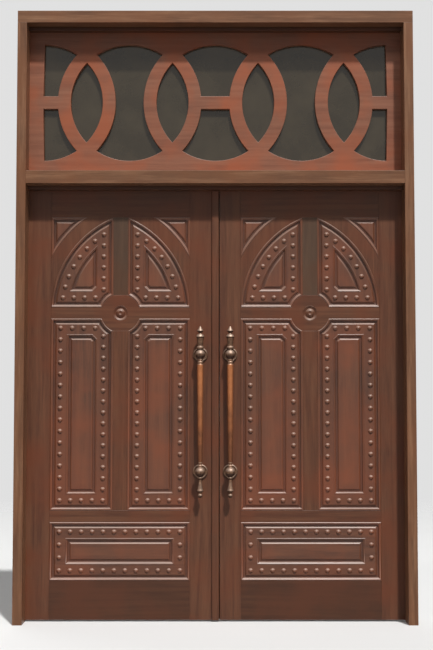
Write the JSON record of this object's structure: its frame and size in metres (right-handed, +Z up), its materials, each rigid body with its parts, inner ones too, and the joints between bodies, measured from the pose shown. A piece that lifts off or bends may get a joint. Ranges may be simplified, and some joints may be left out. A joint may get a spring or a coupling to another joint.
{
  "type": "carved double door with frame and fanlight",
  "caption": "Carved wooden door with hinged leaves of studded, arched panels and turned pull handles, in a rebated frame with a glazed fanlight of interlaced fretwork rings.",
  "frame": {"origin": "middle of the doorway on the floor, half way between the front of the frame and the back of the hinge knuckles", "axes": "X across the doorway to the right seen from outside, Y from the outside in, Z up"},
  "size_m": [1.91, 0.1746, 2.938],
  "materials": {
    "frame_wood": "worn stain, satin",
    "fret_wood": "stained, satin",
    "leaf_wood": "stained, satin",
    "panel_wood": "stained, satin",
    "glass": "dark, clear",
    "brass": "aged",
    "bronze": "polished by use",
    "hinge_steel": "brushed"
  },
  "bodies": {
    "frame": {"left_jamb": "frame_wood", "right_jamb": "frame_wood", "frame_head": "frame_wood", "transom_bar": "frame_wood", "head_stop": "frame_wood", "transom_stop": "frame_wood", "fretwork": "fret_wood", "fanlight_glass": "glass", "glazing_beads": "frame_wood", "left_frame_hinge_plates": "hinge_steel", "right_frame_hinge_plates": "hinge_steel", "left_hinge_pins": "hinge_steel", "right_hinge_pins": "hinge_steel"},
    "left_leaf": {"left_hinge_stile": "leaf_wood", "left_meeting_stile": "leaf_wood", "left_top_rail": "leaf_wood", "left_cross_rail": "leaf_wood", "left_lower_rail": "leaf_wood", "left_bottom_rail": "leaf_wood", "left_upper_muntin": "leaf_wood", "left_lower_muntin": "leaf_wood", "left_inner_arch_rib": "leaf_wood", "left_outer_arch_rib": "leaf_wood", "left_spandrel_panels": "panel_wood", "left_inner_arch_panel": "panel_wood", "left_outer_arch_panel": "panel_wood", "left_inner_tall_panel": "panel_wood", "left_outer_tall_panel": "panel_wood", "left_bottom_panel": "panel_wood", "left_mouldings": "panel_wood", "left_studs": "panel_wood", "left_rosette": "leaf_wood", "left_handle_bar": "bronze", "left_handle_top": "brass", "left_handle_bottom": "brass", "left_hinge_plates": "hinge_steel", "left_cover_strip": "leaf_wood"},
    "right_leaf": {"right_hinge_stile": "leaf_wood", "right_meeting_stile": "leaf_wood", "right_top_rail": "leaf_wood", "right_cross_rail": "leaf_wood", "right_lower_rail": "leaf_wood", "right_bottom_rail": "leaf_wood", "right_upper_muntin": "leaf_wood", "right_lower_muntin": "leaf_wood", "right_inner_arch_rib": "leaf_wood", "right_outer_arch_rib": "leaf_wood", "right_spandrel_panels": "panel_wood", "right_inner_arch_panel": "panel_wood", "right_outer_arch_panel": "panel_wood", "right_inner_tall_panel": "panel_wood", "right_outer_tall_panel": "panel_wood", "right_bottom_panel": "panel_wood", "right_mouldings": "panel_wood", "right_studs": "panel_wood", "right_rosette": "leaf_wood", "right_handle_bar": "bronze", "right_handle_top": "brass", "right_handle_bottom": "brass", "right_hinge_plates": "hinge_steel"}
  },
  "joints": [
    {"name": "left_leaf_hinge", "type": "hinge", "parent": "frame", "child": "left_leaf", "pos_m": [-0.9205, 0.08025, 1.05], "axis": [0, 0, 1], "range_deg": [0, 90]},
    {"name": "right_leaf_hinge", "type": "hinge", "parent": "frame", "child": "right_leaf", "pos_m": [0.9205, 0.08025, 1.05], "axis": [0, 0, -1], "range_deg": [0, 90]}
  ]
}
